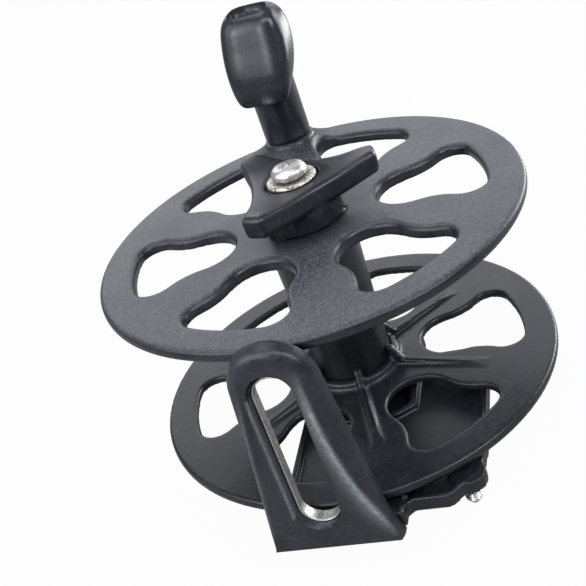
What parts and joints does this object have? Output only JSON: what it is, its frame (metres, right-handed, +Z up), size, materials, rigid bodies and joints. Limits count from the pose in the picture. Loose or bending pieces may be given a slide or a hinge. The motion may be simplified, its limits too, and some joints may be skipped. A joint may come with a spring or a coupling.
{
  "type": "hand line reel",
  "caption": "Hand line reel with a wide flanged spool on a moulded base, crank grip, star drag knob and upright line guide.",
  "frame": {"origin": "spool axis at the flat underside of the base", "axes": "+Z up the spindle towards the star knob, -Y towards the line guide, +X towards the side wing with the mounting studs"},
  "size_m": [0.13, 0.1365, 0.1207],
  "materials": {
    "black_nylon": "satin, glass filled",
    "stainless": "bright stainless",
    "brass": "machined",
    "acetal": "smooth",
    "drag_fibre": "pressed fibre"
  },
  "bodies": {
    "frame": {"base_frame": "black_nylon", "line_guide": "black_nylon", "guide_liner": "stainless", "guide_screws": "stainless", "spindle": "stainless", "thrust_washer": "acetal", "mount_studs": "stainless", "knob_washer": "stainless", "lock_washer": "stainless", "knob_screw": "stainless"},
    "spool": {"top_flange": "black_nylon", "bottom_flange": "black_nylon", "drum": "black_nylon", "flange_screws_upper": "stainless", "flange_screws_lower": "stainless", "upper_bush": "acetal", "lower_bush": "acetal", "drag_washer": "drag_fibre", "handle_bolt": "stainless", "handle_nut": "stainless", "grip_washer": "stainless"},
    "pressure_plate": {"pressure_washer": "stainless"},
    "knob": {"star_knob": "black_nylon", "knob_insert": "brass"},
    "grip_body": {"grip": "black_nylon", "grip_bush": "brass"}
  },
  "joints": [
    {"name": "spool_spin", "type": "hinge", "parent": "frame", "child": "spool", "pos_m": [0, 0, 0.03], "axis": [0, 0, 1], "continuous": true},
    {"name": "grip_spin", "type": "hinge", "parent": "spool", "child": "grip_body", "pos_m": [-0.01279, 0.05246, 0.085], "axis": [0, 0, 1], "continuous": true},
    {"name": "drag_slide", "type": "slide", "parent": "frame", "child": "pressure_plate", "axis": [0, 0, 1], "range_m": [0, 0.00113]},
    {"name": "knob_turn", "type": "hinge", "parent": "pressure_plate", "child": "knob", "pos_m": [0, 0, 0.07], "axis": [0, 0, 1], "range_deg": [0, 270]}
  ],
  "couplings": [
    {"joint": "drag_slide", "follows": "knob_turn", "m_per_rad": 0.00023873}
  ]
}
